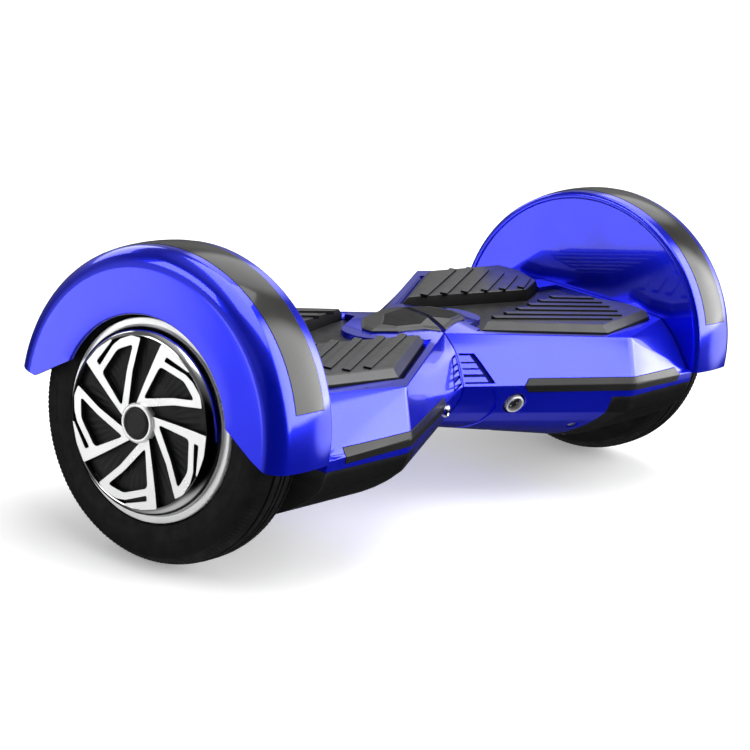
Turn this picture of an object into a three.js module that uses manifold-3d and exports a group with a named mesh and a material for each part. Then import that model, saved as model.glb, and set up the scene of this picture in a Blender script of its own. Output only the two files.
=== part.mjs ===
// Two-wheeled self balancing board with an axle through each half and a twisting waist.
// Millimetres. X runs along the axles to the right, Y to the rear, Z up from the floor.
import * as THREE from 'three';
import { mergeVertices } from 'three/addons/utils/BufferGeometryUtils.js';
import Module from 'manifold-3d';

const wasm = await Module();
wasm.setup();

// ---- driving dimensions ----
const AXLE_Z = 100;              // axle height: the radius of the tyre
const TYRE_R = 100;
const WHEEL_X = 270.5;           // middle of the tyre from the middle of the board
const TYRE_HALF = 22.8;
const RIM_R = 69.5;
const CAP_X = 307.4;             // outermost face of the hub cap
const FENDER_R = 118;
const FENDER_IN = 243.2;         // inner face of the fender's disc
const FENDER_OUT = 302;
const FENDER_WALL = 3;
const BODY_END = 242.7;          // end of the body shells, next to the fender
const SEAM_X = 0.8;              // half of the gap between the two halves
const CORNER_X = 150;            // where the flare ends and the sides run parallel
const WAIST_X = 62;              // end of the raised ridge at the waist
const SHELL_WALL = 3.2;
const PARTING = 0.15;            // half of the joint between upper and lower shells
const BAND_Z = -10;              // lower edge of the coloured band round the black belly
const BELLY_X = 132;             // inner edge of the belly cover
const GAP = 0.3;
const PAD_TOP = 41;
const PAD_SHOULDER = 35.5;
const PAD_FOOT = 29.6;
const PAD_GAP = 0.8;
const VALLEY_Z = 31;             // floor between the front and the rear foot pads
const RIB_W = 5.6;
const RIB_RAISE = 1.6;
const TRAY_Z = [24, 27];
const AXLE_R = 8;
const PIVOT_R = 15;
const STRIP_RAISE = 0.5;
const SOCKET_AT = [49, -15];      // along the axle and up, on the front faces
const SOCKET_HOLE_R = 9.2;
const BUTTON_AT = [46, -7.2];
const BUTTON_HOLE_R = 5.2;
const BUTTON_R = 4.8;
const SPOKES = 5;
const SPOKE_PHASE = 79.8;        // degrees

// half cross-sections from top centre to bottom centre, [distance from the middle, height]
const SEAM_SECTION = [[0, 43], [11, 41.5], [29, 35.5], [29.3, 35.3], [29.6, 35.1], [30, 34.8],
  [41.5, 24.4], [50.7, 7.3], [54, 0], [52.5, -10], [46, -23], [38, -32], [20, -40.5], [0, -43]];
const CORNER_SECTION = [[0, 35], [50, 35], [102.9, 34.7], [103.2, 34.5], [103.5, 34.3],
  [103.8, 33.9], [107.3, 22.8], [112.2, 7.2], [114.4, 0], [114, -10], [111, -24], [100, -35],
  [60, -58], [0, -58]];
const END_SECTION = [[0, 35], [40, 35], [76, 32.5], [83.5, 26.5], [91, 20], [108, -1.6],
  [109.7, -1.8], [111.4, -2], [113, -2.2], [112.8, -10], [110, -24], [99, -35], [60, -58],
  [0, -58]];
const END_X = 245;

// foot pad outlines in plan for the rear right pad
const PAD_BASE = [[38, 38], [139.5, 88.5], [226, 75], [229, 54], [211, 24], [174.5, 10.5]];
const PAD_CROWN = [[45, 37], [139, 82.6], [222, 71.5], [225, 54], [209, 26], [174, 12]];
const PAD_RIBS = [[59, 33, 161, 76.3], [81, 29.5, 181, 73], [104, 25.6, 190, 63.5],
  [126.5, 21.6, 196, 52], [147, 18, 201, 42], [169, 14.8, 205, 31.5]];
const VALLEY = [[84, 20], [90, 26], [174.5, 8.7], [212, 21], [238, 21]];

// ---- materials ----
const paint = (name, color, roughness, metalness) =>
  new THREE.MeshStandardMaterial({ name, color, roughness, metalness });
const BLUE = paint('blue_plated', 0x1c22e8, 0.18, 0.55);
const PAD_GREY = paint('pad_rubber', 0x4a4a4d, 0.75, 0);
const BLACK = paint('black_plastic', 0x161618, 0.5, 0);
const SMOKE = paint('smoked_lens', 0x4c4a46, 0.2, 0.1);
const RUBBER = paint('tyre_rubber', 0x141415, 0.85, 0);
const SILVER = paint('bright_alloy', 0xe6e6e8, 0.25, 0.9);
const CAST = paint('cast_alloy', 0x9b9ea3, 0.55, 0.8);
const STEEL = paint('steel', 0xa8a8aa, 0.35, 0.9);
const COPPER = paint('copper', 0xb8693a, 0.45, 0.8);
const BOARD = paint('circuit_board', 0x17613a, 0.5, 0);
const PACK = paint('battery_wrap', 0x2a4f9c, 0.4, 0);

const board = new THREE.Group();

// ---- geometry helpers ----
function solid(geometry) {
  geometry.deleteAttribute('normal');
  geometry.deleteAttribute('uv');
  const merged = mergeVertices(geometry, 1e-4);
  const mesh = new wasm.Mesh({
    numProp: 3,
    vertProperties: new Float32Array(merged.attributes.position.array),
    triVerts: new Uint32Array(merged.index.array),
  });
  return new wasm.Manifold(mesh);
}

function toGeometry(body) {
  const mesh = body.getMesh();
  const geometry = new THREE.BufferGeometry();
  geometry.setAttribute('position', new THREE.BufferAttribute(mesh.vertProperties, 3));
  geometry.setIndex(new THREE.BufferAttribute(mesh.triVerts, 1));
  geometry.computeVertexNormals();
  return geometry;
}

function add(name, body, material) {
  const mesh = new THREE.Mesh(toGeometry(body), material);
  mesh.name = name;
  mesh.position.z = AXLE_Z;
  board.add(mesh);
}

// a prism whose outline lies across X, Y or Z
function prismZ(outline, low, high) {
  const shape = new THREE.Shape(outline.map(([x, y]) => new THREE.Vector2(x, y)));
  const geometry = new THREE.ExtrudeGeometry(shape, { depth: high - low, bevelEnabled: false });
  return solid(geometry.translate(0, 0, low));
}

function prismY(outline, low, high) {
  const shape = new THREE.Shape(outline.map(([x, z]) => new THREE.Vector2(x, z)));
  const geometry = new THREE.ExtrudeGeometry(shape, { depth: high - low, bevelEnabled: false });
  return solid(geometry.rotateX(Math.PI / 2).translate(0, high, 0));
}

function prismX(shape, low, high) {
  const geometry = new THREE.ExtrudeGeometry(shape, { depth: high - low, bevelEnabled: false });
  const turn = new THREE.Matrix4().makeBasis(
    new THREE.Vector3(0, 1, 0), new THREE.Vector3(0, 0, 1), new THREE.Vector3(1, 0, 0));
  return solid(geometry.applyMatrix4(turn).translate(low, 0, 0));
}

const outlineShape = (points) => new THREE.Shape(points.map(([a, b]) => new THREE.Vector2(a, b)));

function box(x0, x1, y0, y1, z0, z1) {
  const geometry = new THREE.BoxGeometry(x1 - x0, y1 - y0, z1 - z0);
  return solid(geometry.translate((x0 + x1) / 2, (y0 + y1) / 2, (z0 + z1) / 2));
}

// a closed profile of [radius, x] points turned about the axle
function turned(profile, segments = 40) {
  const points = profile.map(([r, x]) => new THREE.Vector2(r, x));
  points.push(points[0].clone());
  return solid(new THREE.LatheGeometry(points, segments).rotateZ(-Math.PI / 2));
}

function rod(radius, x0, x1, segments = 16) {
  const geometry = new THREE.CylinderGeometry(radius, radius, x1 - x0, segments);
  return solid(geometry.rotateZ(-Math.PI / 2).translate((x0 + x1) / 2, 0, 0));
}

const ring = (outer, inner, x0, x1, segments = 16) =>
  turned([[inner, x0], [outer, x0], [outer, x1], [inner, x1]], segments);

// a closed skin through rings that all have the same number of points
function loft(rings) {
  const count = rings[0].length;
  const positions = rings.flat(2);
  const index = [];
  for (let r = 0; r < rings.length - 1; r += 1) {
    for (let i = 0; i < count; i += 1) {
      const a = r * count + i;
      const b = r * count + ((i + 1) % count);
      index.push(a, b, a + count, b, b + count, a + count);
    }
  }
  const last = (rings.length - 1) * count;
  for (let i = 1; i < count - 1; i += 1) {
    index.push(0, i + 1, i, last, last + i, last + i + 1);
  }
  const geometry = new THREE.BufferGeometry();
  geometry.setAttribute('position', new THREE.Float32BufferAttribute(positions, 3));
  geometry.setIndex(index);
  const body = solid(geometry);
  return body.volume() > 0 ? body : solid(flipped(geometry));
}

function flipped(geometry) {
  const copy = geometry.clone();
  const order = copy.index.array;
  for (let i = 0; i < order.length; i += 3) {
    [order[i], order[i + 1]] = [order[i + 1], order[i]];
  }
  return copy;
}

const mirrorX = (body) => body.mirror([1, 0, 0]);
const mirrorY = (body) => body.mirror([0, 1, 0]);
const halfTurn = (body) => body.rotate([0, 0, 180]);

// ---- the outer form of one half ----
const mix = (a, b, t) => a + (b - a) * t;
const mixSection = (a, b, t) => a.map(([y, z], i) => [mix(y, b[i][0], t), mix(z, b[i][1], t)]);

// the ridge dies out at WAIST_X, so the deck is flat from there on
const WAIST_SECTION = mixSection(SEAM_SECTION, CORNER_SECTION, WAIST_X / CORNER_X)
  .map(([y, z], i) => [y, i < 2 ? CORNER_SECTION[i][1] : z]);

function sectionAt(x) {
  if (x <= WAIST_X) return mixSection(SEAM_SECTION, WAIST_SECTION, x / WAIST_X);
  if (x <= CORNER_X) {
    return mixSection(WAIST_SECTION, CORNER_SECTION, (x - WAIST_X) / (CORNER_X - WAIST_X));
  }
  return mixSection(CORNER_SECTION, END_SECTION, (x - CORNER_X) / (END_X - CORNER_X));
}

// grow is added to the half width and to the height, above and below the axle
function bodyForm(x0, x1, grow = 0) {
  const stations = [x0, WAIST_X, CORNER_X, x1];
  return loft(stations.map((x) => {
    const section = sectionAt(x);
    const wide = Math.max(...section.map((p) => p[0]));
    const high = section[0][1];
    const low = -section[section.length - 1][1];
    const grown = section.map(([y, z]) =>
      [y * (1 + grow / wide), z * (1 + grow / (z > 0 ? high : low))]);
    const front = grown.map(([y, z]) => [x, -y, z]);
    const rear = grown.slice(1, -1).reverse().map(([y, z]) => [x, y, z]);
    return [...front, ...rear];
  }));
}

// half width of the outer form at a height on its side
function halfWidth(x, z) {
  const section = sectionAt(x);
  const i = section.findIndex((p, k) => k > 2 && p[1] <= z);
  const [y0, z0] = section[i - 1];
  const [y1, z1] = section[i];
  return mix(y0, y1, (z0 - z) / (z0 - z1));
}

// a tool turned to stand on the front face at (x, z); its own +X points out of the face
function onFrontFace(tool, x, z) {
  const step = 1;
  const slopeX = halfWidth(x + step, z) - halfWidth(x, z);
  const slopeZ = halfWidth(x, z + step) - halfWidth(x, z);
  const normal = new THREE.Vector3(-slopeX, -1, -slopeZ).normalize();
  const turn = new THREE.Quaternion().setFromUnitVectors(new THREE.Vector3(1, 0, 0), normal);
  const m = new THREE.Matrix4().makeRotationFromQuaternion(turn);
  m.setPosition(x, -halfWidth(x, z), z);
  return tool.transform(m.elements);
}

const outer = bodyForm(SEAM_X, BODY_END);
const cavity = bodyForm(SEAM_X + SHELL_WALL, BODY_END - SHELL_WALL, -SHELL_WALL);
const skin = outer.subtract(cavity);
const FAR = 400;
const pivotHole = rod(PIVOT_R + 1.5, -1, 10);
const axleHole = rod(AXLE_R + 1, 230, 250);

function surfaceLayer(low, high) {
  return bodyForm(SEAM_X - 0.5, BODY_END + 0.5, high)
    .subtract(bodyForm(SEAM_X - 1, BODY_END + 1, low));
}

// ---- light strip that follows the crease round the corner ----
const STRIP_IN = 52.7;
const STRIP_OUT = 223;
const STRIP_TOP = 5.3;
const STRIP_LOW = -5;

function stripOutline(margin, pointed) {
  const drop = -1.6;
  const end = pointed
    ? [[STRIP_OUT - 5, STRIP_TOP + drop + margin], [STRIP_OUT + margin, drop],
      [STRIP_OUT - 5, STRIP_LOW + drop - margin]]
    : [[STRIP_OUT + margin, STRIP_TOP + drop + margin],
      [STRIP_OUT + margin, STRIP_LOW + drop - margin]];
  return [[STRIP_IN - margin * 2, 0], [STRIP_IN + 4, STRIP_TOP + margin],
    [CORNER_X, STRIP_TOP + margin], ...end,
    [CORNER_X, STRIP_LOW - margin], [STRIP_IN + 4, STRIP_LOW - margin]];
}

function strip(margin, low, high, pointed) {
  return prismY(stripOutline(margin, pointed), -FAR, -10).intersect(surfaceLayer(low, high));
}

// ---- foot pads ----
function grown(outline, by) {
  const cx = outline.reduce((s, p) => s + p[0], 0) / outline.length;
  const cy = outline.reduce((s, p) => s + p[1], 0) / outline.length;
  return outline.map((p, i) => {
    const a = outline[(i + outline.length - 1) % outline.length];
    const b = outline[(i + 1) % outline.length];
    const n1 = edgeNormal(a, p, cx, cy);
    const n2 = edgeNormal(p, b, cx, cy);
    const k = by / (1 + n1[0] * n2[0] + n1[1] * n2[1]);
    return [p[0] + (n1[0] + n2[0]) * k, p[1] + (n1[1] + n2[1]) * k];
  });
}

function edgeNormal(a, b, cx, cy) {
  const length = Math.hypot(b[0] - a[0], b[1] - a[1]);
  const n = [(b[1] - a[1]) / length, (a[0] - b[0]) / length];
  const outward = (a[0] - cx) * n[0] + (a[1] - cy) * n[1] > 0;
  return outward ? n : [-n[0], -n[1]];
}

const PLUNGER_AT = [132, 52];
const PLUNGER_R = 4;
const PLUNGER_FOOT = 22;

function plunger(radius, low, high) {
  const geometry = new THREE.CylinderGeometry(radius, radius, high - low, 12);
  geometry.rotateX(Math.PI / 2).translate(PLUNGER_AT[0], PLUNGER_AT[1], (low + high) / 2);
  return solid(geometry);
}

function footPad() {
  const levels = [[PAD_BASE, PAD_FOOT], [PAD_BASE, PAD_SHOULDER], [PAD_CROWN, PAD_TOP]];
  let pad = loft(levels.map(([outline, z]) => outline.map(([x, y]) => [x, y, z])));
  for (const [x0, y0, x1, y1] of PAD_RIBS) {
    const length = Math.hypot(x1 - x0, y1 - y0);
    const angle = THREE.MathUtils.radToDeg(Math.atan2(y1 - y0, x1 - x0));
    const rib = box(0, length, -RIB_W / 2, RIB_W / 2, PAD_TOP - 1, PAD_TOP + RIB_RAISE);
    pad = pad.add(rib.rotate([0, 0, angle]).translate([x0, y0, 0]));
  }
  return pad.add(plunger(PLUNGER_R, PLUNGER_FOOT, PAD_FOOT + 1));
}

const padOpening = prismZ(grown(PAD_BASE, PAD_GAP), 20, 60);
const bothSides = (body) => body.add(mirrorY(body));
const valleyOutline = [...VALLEY, ...VALLEY.slice().reverse().map(([x, y]) => [x, -y])];

// ---- shells ----
function upperShell(pointed) {
  const slab = prismZ(grown(valleyOutline, 3), VALLEY_Z - 2.7, VALLEY_Z + 1.4);
  let shell = skin.intersect(box(-FAR, FAR, -FAR, FAR, PARTING, FAR));
  shell = shell.add(slab.intersect(bodyForm(SEAM_X, BODY_END, -0.5)));
  shell = shell.subtract(prismZ(valleyOutline, VALLEY_Z, 60));
  shell = shell.subtract(bothSides(padOpening));
  const vent = prismY([[2, 2], [2, 23], [15, 23], [28, 2]], -FAR, -5).intersect(surfaceLayer(-1.2, 1));
  shell = shell.subtract(bothSides(vent));
  shell = shell.subtract(bothSides(strip(GAP, -2, 2, pointed)));
  return shell.subtract(pivotHole).subtract(axleHole);
}

function lowerShell(pointed) {
  let shell = skin.intersect(box(-FAR, FAR, -FAR, FAR, -FAR, -PARTING));
  shell = shell.subtract(box(BELLY_X, FAR, -FAR, FAR, -FAR, BAND_Z));
  const collar = box(32.4, 33.8, -FAR, FAR, -FAR, -2).intersect(surfaceLayer(-0.9, 1));
  shell = shell.subtract(collar);
  shell = shell.subtract(bothSides(strip(GAP, -2, 2, pointed)));
  return shell.subtract(pivotHole).subtract(axleHole);
}

const bellyCover = skin.intersect(
  box(BELLY_X + GAP, FAR, -FAR, FAR, -FAR, BAND_Z - GAP));

const armour = prismZ([[1, -29], [43, -17], [WAIST_X, -4], [WAIST_X, 4], [43, 17], [1, 29]], 20, 60)
  .intersect(outer.translate([0, 0, 3.3]).subtract(outer.translate([0, 0, GAP])));

// ---- fender ----
function fender() {
  const arch = turned([[30, FENDER_IN], [114.5, FENDER_IN], [117.3, FENDER_IN + 1.2],
    [FENDER_R, FENDER_IN + 3.4], [FENDER_R, 294], [116.6, 298.3], [113.5, 301],
    [109, FENDER_OUT], [72, FENDER_OUT], [72, FENDER_OUT - FENDER_WALL],
    [108.5, FENDER_OUT - FENDER_WALL], [112, 298], [114.4, 295], [115, 291],
    [115, FENDER_IN + 3], [114, FENDER_IN + 2.5], [30, FENDER_IN + 2.5]], 48);
  const below = outlineShape([[-FAR, -3], [-106, -3], [-95, 2], [-70, 17], [63, 27], [98, 4.5],
    [118, 7.5], [FAR, 7.5], [FAR, -FAR], [-FAR, -FAR]]);
  const inner = box(0, FENDER_IN + 2.6, -FAR, FAR, -FAR, -3);
  return arch.subtract(prismX(below, FENDER_IN + 2.6, FAR)).subtract(inner)
    .subtract(fenderStrip(GAP, 116.4, 130));
}

function fenderStrip(margin, low, high) {
  const start = THREE.MathUtils.degToRad(17.4 - margin * 0.5);
  const reach = 200;
  const wedge = outlineShape([[0, 0], [reach * Math.cos(start), reach * Math.sin(start)],
    [reach, reach], [-reach, reach], [-reach * Math.cos(start), reach * Math.sin(start)]]);
  return ring(high, low, 254 - margin, 284 + margin, 48).intersect(prismX(wedge, 240, 310));
}

// ---- wheel and hub motor ----
const TYRE_SIDE = [[60.3, 19.4], [70, 19.4], [71, 22], [83.3, TYRE_HALF], [94, 19.5], [TYRE_R, 6]];
const tyre = turned([...TYRE_SIDE.map(([r, x]) => [r, WHEEL_X - x]),
  ...TYRE_SIDE.slice().reverse().map(([r, x]) => [r, WHEEL_X + x])], 40);

const rim = turned([[17.3, 247.5], [RIM_R, 247.5], [RIM_R, 250.8], [60, 250.8], [60, 290.2],
  [RIM_R, 290.2], [RIM_R, 293.5], [56.3, 293.5], [56.3, 250.5], [20, 250.5], [20, 257],
  [17.3, 257]], 32);

const magnetRing = ring(56, 53, 258, 280, 24);
const motorCover = turned([[0, 290.6], [14.3, 290.6], [14.3, 280.5], [20, 280.5], [20, 290.6],
  [56, 290.6], [56, 293.2], [0, 293.2]], 20);
const axle = turned([[0, 200], [AXLE_R, 200], [AXLE_R, 257], [10, 257], [10, 279],
  [AXLE_R, 279], [AXLE_R, 288], [0, 288]], 16);

function stator() {
  const TEETH = 12;
  let body = ring(52, 10.3, 259, 277, 24);
  for (let i = 0; i < TEETH; i += 1) {
    const slot = box(258, 278, -2.2, 2.2, 40, 60);
    body = body.subtract(slot.rotate([360 * (i + 0.5) / TEETH, 0, 0]));
  }
  return body;
}

const polar = (r, degrees) => {
  const a = THREE.MathUtils.degToRad(degrees);
  return [r * Math.cos(a), r * Math.sin(a)];
};

// one spoke loop: two arms from the hub, a bar between them, and a blade outside a slot
const SPOKE_OUTLINE = [[12, -32], [28, -9], [46, -2.5], [58.6, 0], [58.8, 14], [59, 28.5],
  [57.2, 28.5], [53.6, 9.5], [50.5, 8], [54.5, 24], [57, 33.5], [58.4, 45], [57, 54],
  [35, 44], [14, 14], [10, 0]];
const SPOKE_POCKET = [[18, -4.5], [32, 1.5], [44, 5.5], [50, 21], [51.5, 32], [52.5, 47], [36, 36]];

function wheelTrim() {
  let body = turned([[60.5, 293.8], [64.2, 293.8], [64.2, 295.2], [62.6, 300], [59.8, 304.2],
    [57.6, 304.4], [57.6, 301.2], [58.8, 300.4]], 30);
  body = body.add(ring(13.5, 10.8, 300.6, 306.4, 24));
  for (let i = 0; i < SPOKES; i += 1) {
    const turn = SPOKE_PHASE + 360 * i / SPOKES;
    const shape = outlineShape(SPOKE_OUTLINE.map(([r, a]) => polar(r, turn - a)));
    const pocket = outlineShape(SPOKE_POCKET.map(([r, a]) => polar(r, turn - a)));
    const spoke = prismX(shape, 300.8, 304.2).subtract(prismX(pocket, 300, 305));
    body = body.add(spoke);
  }
  return body.subtract(rod(10.8, 290, 310, 24));
}

const wheelDish = turned([[0, 297.2], [58, 297.2], [58, 299.6], [14, 300.2], [0, 300.2]], 24);
const hubCap = turned([[0, 300.6], [10.4, 300.6], [10.4, 306.6], [9.6, CAP_X], [0, CAP_X]], 24);

// ---- chassis and inner parts ----
function chassis(bore) {
  const plate = prismZ([[50, -25], [150, -68], [236, -68], [236, 68], [150, 68], [50, 25]],
    -43, -37);
  const web = box(20, 44, -10, 10, -40.2, -12).add(box(40, 60, -10, 10, -40.2, -20.5));
  const saddle = box(206, 236, -22, 22, -38, -0.2);
  const ribs = bothSides(box(96, 206, 38, 42, -38, -24));
  return plate.add(web).add(rod(21, 8, 44)).add(saddle).add(ribs)
    .subtract(rod(bore, 0, 60)).subtract(rod(AXLE_R + GAP, 190, 250, 16));
}

const axleClamp = box(208, 234, -20, 20, 0.2, 13).subtract(rod(AXLE_R + GAP, 190, 250, 16));

const footTray = prismZ([[40, -40], [146, -94], [228, -79], [234, -54], [234, 54], [228, 79],
  [146, 94], [40, 40]], ...TRAY_Z).subtract(bothSides(plunger(PLUNGER_R + 1, 20, 30)));

const sensorBoard = box(118, 146, -60, 60, 16.4, 18)
  .add(box(126, 138, 46, 58, 17, 19.4)).add(box(126, 138, -58, -46, 17, 19.4))
  .add(box(122, 134, -8, 8, 17, 21));

for (const [side, place] of [['right', (b) => b], ['left', mirrorX]]) {
  const pointed = side === 'right';
  const isRoot = side === 'left';
  const lightStrip = strip(0, -1.6, STRIP_RAISE, pointed);
  let lower = lowerShell(pointed);
  const [holeAt, holeR] = isRoot ? [BUTTON_AT, BUTTON_HOLE_R] : [SOCKET_AT, SOCKET_HOLE_R];
  lower = lower.subtract(onFrontFace(rod(holeR, -12, 6, 32), ...holeAt));
  add(`${side}_upper_shell`, place(upperShell(pointed)), BLUE);
  add(`${side}_lower_shell`, place(lower), BLUE);
  add(`${side}_belly_cover`, place(bellyCover), BLACK);
  add(`${side}_waist_cover`, place(armour), PAD_GREY);
  add(`${side}_front_light`, place(lightStrip), SMOKE);
  add(`${side}_rear_light`, place(mirrorY(lightStrip)), SMOKE);
  add(`${side}_rear_pad`, place(footPad()), PAD_GREY);
  add(`${side}_front_pad`, place(mirrorY(footPad())), PAD_GREY);
  add(`${side}_foot_tray`, place(footTray), BLACK);
  add(`${side}_sensor_board`, place(sensorBoard), BOARD);
  add(`${side}_chassis`, place(chassis(isRoot ? PIVOT_R + GAP : PIVOT_R + 2.3)), CAST);
  add(`${side}_axle_clamp`, place(axleClamp), CAST);
  add(`${side}_fender`, place(fender()), BLUE);
  add(`${side}_fender_light`, place(fenderStrip(0, 116.7, FENDER_R + 0.3)), SMOKE);
}

// the motor wheels are one design, turned round for the other side
for (const [side, place] of [['right', (b) => b], ['left', halfTurn]]) {
  add(`${side}_axle`, place(axle), STEEL);
  add(`${side}_stator`, place(stator()), COPPER);
  add(`${side}_inner_bearing`, place(ring(17, AXLE_R + GAP, 248.2, 256)), STEEL);
  add(`${side}_outer_bearing`, place(ring(14, AXLE_R + GAP, 280.5, 287)), STEEL);
  add(`${side}_magnet_ring`, place(magnetRing), STEEL);
  add(`${side}_rim`, place(rim), SILVER);
  add(`${side}_motor_cover`, place(motorCover), CAST);
  add(`${side}_tyre`, place(tyre), RUBBER);
  add(`${side}_wheel_dish`, place(wheelDish), BLACK);
  add(`${side}_wheel_trim`, place(wheelTrim()), SILVER);
  add(`${side}_hub_cap`, place(hubCap), BLACK);
}

// ---- pieces that the object has once ----
add('pivot_tube', ring(PIVOT_R, 12, -44, 49, 24), STEEL);
add('pivot_bush', ring(PIVOT_R + 2, PIVOT_R + GAP, 9, 43.5, 24), BLACK);
add('pivot_retainer', ring(19, PIVOT_R + GAP, 44.6, 47, 24), STEEL);
add('wiring_harness', rod(5, -70, 70, 16), BLACK);
add('battery_pack', box(-196, -76, -36, 36, -36.5, -2), PACK);
add('main_board', box(82, 190, -36, 36, -30, -28.4).add(box(92, 120, -28, 28, -29, -16))
  .add(box(132, 180, -30, -14, -29, -10)).add(box(140, 176, 4, 28, -29, -20)), BOARD);

let socket = rod(7.4, -12, 1.6).subtract(rod(5.9, -8, 3));
for (let i = 0; i < 3; i += 1) {
  const pin = rod(0.9, -9, -4, 12).translate([0, 0, 3]);
  socket = socket.add(pin.rotate([120 * i + 60, 0, 0]));
}
add('charge_socket', onFrontFace(socket, ...SOCKET_AT), STEEL);
add('power_button', mirrorX(onFrontFace(rod(BUTTON_R, -7, 2.4, 32), ...BUTTON_AT)), STEEL);

export default board;
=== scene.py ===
"""Looks for a two-wheeled self balancing board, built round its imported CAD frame.

Shapes are drawn in millimetres about the axle (X along it, Y to the rear, Z up), as the
CAD model is, and go into the frame's metres when a piece is finished.
"""
import math

import bmesh
import bpy
from mathutils import Matrix, Vector


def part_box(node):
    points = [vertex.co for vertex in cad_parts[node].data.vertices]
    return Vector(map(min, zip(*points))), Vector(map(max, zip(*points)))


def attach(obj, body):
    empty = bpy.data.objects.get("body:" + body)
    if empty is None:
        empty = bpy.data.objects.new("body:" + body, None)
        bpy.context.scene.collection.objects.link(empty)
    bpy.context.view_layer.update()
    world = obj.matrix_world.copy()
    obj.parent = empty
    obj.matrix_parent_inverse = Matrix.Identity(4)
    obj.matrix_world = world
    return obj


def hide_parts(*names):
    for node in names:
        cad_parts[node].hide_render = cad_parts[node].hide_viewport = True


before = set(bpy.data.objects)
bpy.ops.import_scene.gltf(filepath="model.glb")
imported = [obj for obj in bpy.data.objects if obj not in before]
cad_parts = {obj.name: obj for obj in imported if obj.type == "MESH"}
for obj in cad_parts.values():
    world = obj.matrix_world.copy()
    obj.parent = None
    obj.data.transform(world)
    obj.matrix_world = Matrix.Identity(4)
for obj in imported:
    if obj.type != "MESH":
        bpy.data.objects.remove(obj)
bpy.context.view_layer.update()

SCENE = bpy.context.scene
M = 0.001

# ---- sizes read from the frame, in millimetres about the axle ----
tyre_low, tyre_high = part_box("right_tyre")
AXLE_Z = (tyre_low.z + tyre_high.z) / 2
TYRE_R = (tyre_high.z - tyre_low.z) / 2 / M
WHEEL_X = (tyre_low.x + tyre_high.x) / 2 / M
TYRE_HALF = (tyre_high.x - tyre_low.x) / 2 / M
fender_low, fender_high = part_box("right_fender")
FENDER_R = (fender_high.z - AXLE_Z) / M
FENDER_IN = fender_low.x / M
FENDER_OUT = fender_high.x / M
shell_low, shell_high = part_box("right_upper_shell")
SEAM_X = shell_low.x / M
BODY_END = shell_high.x / M
pad_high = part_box("right_rear_pad")[1]
RIB_TOP = (pad_high.z - AXLE_Z) / M
cap_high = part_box("right_hub_cap")[1]
CAP_X = cap_high.x / M

# ---- other driving sizes ----
RIM_R = 69.5
CORNER_X = 150
WAIST_X = 62
END_X = 245
SHELL_WALL = 3.2
PARTING = 0.15
PIVOT_HOLE = 16.5
AXLE_HOLE = 9
BAND_Z = -10
BELLY_X = 132
GAP = 0.3
RIB_RAISE = 1.6
PAD_TOP = RIB_TOP - RIB_RAISE
PAD_SHOULDER = 35.5
PAD_FOOT = 29.6
PAD_GAP = 0.8
RIB_W = 5.6
VALLEY_Z = 31
STRIP_IN = 52.7
STRIP_OUT = 223
STRIP_TOP = 5.3
STRIP_LOW = -5
STRIP_RAISE = 0.5
STRIP_DEPTH = 1.6
STRIP_DROP = 1.6        # a strip's end by the wheel lies this much lower
SPOKES = 5
SPOKE_PHASE = 79.8
SOCKET_AT = (49, -15)
BUTTON_AT = (46, -7.2)
FAR = 400

# half cross-sections from top centre to bottom centre, [distance from the middle, height]
SEAM_SECTION = [(0, 43), (11, 41.5), (29, 35.5), (29.3, 35.3), (29.6, 35.1), (30, 34.8),
                (41.5, 24.4), (50.7, 7.3), (54, 0), (52.5, -10), (46, -23), (38, -32),
                (20, -40.5), (0, -43)]
CORNER_SECTION = [(0, 35), (50, 35), (102.9, 34.7), (103.2, 34.5), (103.5, 34.3),
                  (103.8, 33.9), (107.3, 22.8), (112.2, 7.2), (114.4, 0), (114, -10),
                  (111, -24), (100, -35), (60, -58), (0, -58)]
END_SECTION = [(0, 35), (40, 35), (76, 32.5), (83.5, 26.5), (91, 20), (108, -1.6),
               (109.7, -1.8), (111.4, -2), (113, -2.2), (112.8, -10), (110, -24),
               (99, -35), (60, -58), (0, -58)]
SHOULDER, CREASE, CHINE = 5, 8, 10      # places in a section where the surface folds

PAD_BASE = [(38, 38), (139.5, 88.5), (226, 75), (229, 54), (211, 24), (174.5, 10.5)]
PAD_CROWN = [(45, 37), (139, 82.6), (222, 71.5), (225, 54), (209, 26), (174, 12)]
PAD_RIBS = [(59, 33, 161, 76.3), (81, 29.5, 181, 73), (104, 25.6, 190, 63.5),
            (126.5, 21.6, 196, 52), (147, 18, 201, 42), (169, 14.8, 205, 31.5)]
VALLEY = [(77, 5), (74, 11), (68, 16), (37, 27), (36.8, 38), (174.4, 10.3), (211.2, 23.7),
          (238, 23.7)]
SPOKE_OUTLINE = [(12, -32), (28, -9), (46, -2.5), (58.6, 0), (58.8, 14), (59, 28.5),
                 (57.6, 28.5), (52.6, 7.8), (48.8, 7.6), (54.8, 28), (57, 36), (58.4, 46),
                 (57, 54), (35, 44), (14, 14), (10, 0)]
SPOKE_POCKET = [(17.5, -4.5), (44, 5.5), (50.8, 31), (52.3, 47), (36, 36)]


# ---- small geometry helpers ----
def mix(a, b, t):
    return a + (b - a) * t


def mix_section(a, b, t):
    return [(mix(p[0], q[0], t), mix(p[1], q[1], t)) for p, q in zip(a, b)]


def arc(cx, cy, radius, start, end, count):
    """Points on an arc, angles in degrees."""
    angles = [math.radians(mix(start, end, i / count)) for i in range(count + 1)]
    return [(cx + radius * math.cos(a), cy + radius * math.sin(a)) for a in angles]


def polar(radius, degrees):
    a = math.radians(degrees)
    return (radius * math.cos(a), radius * math.sin(a))


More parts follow.
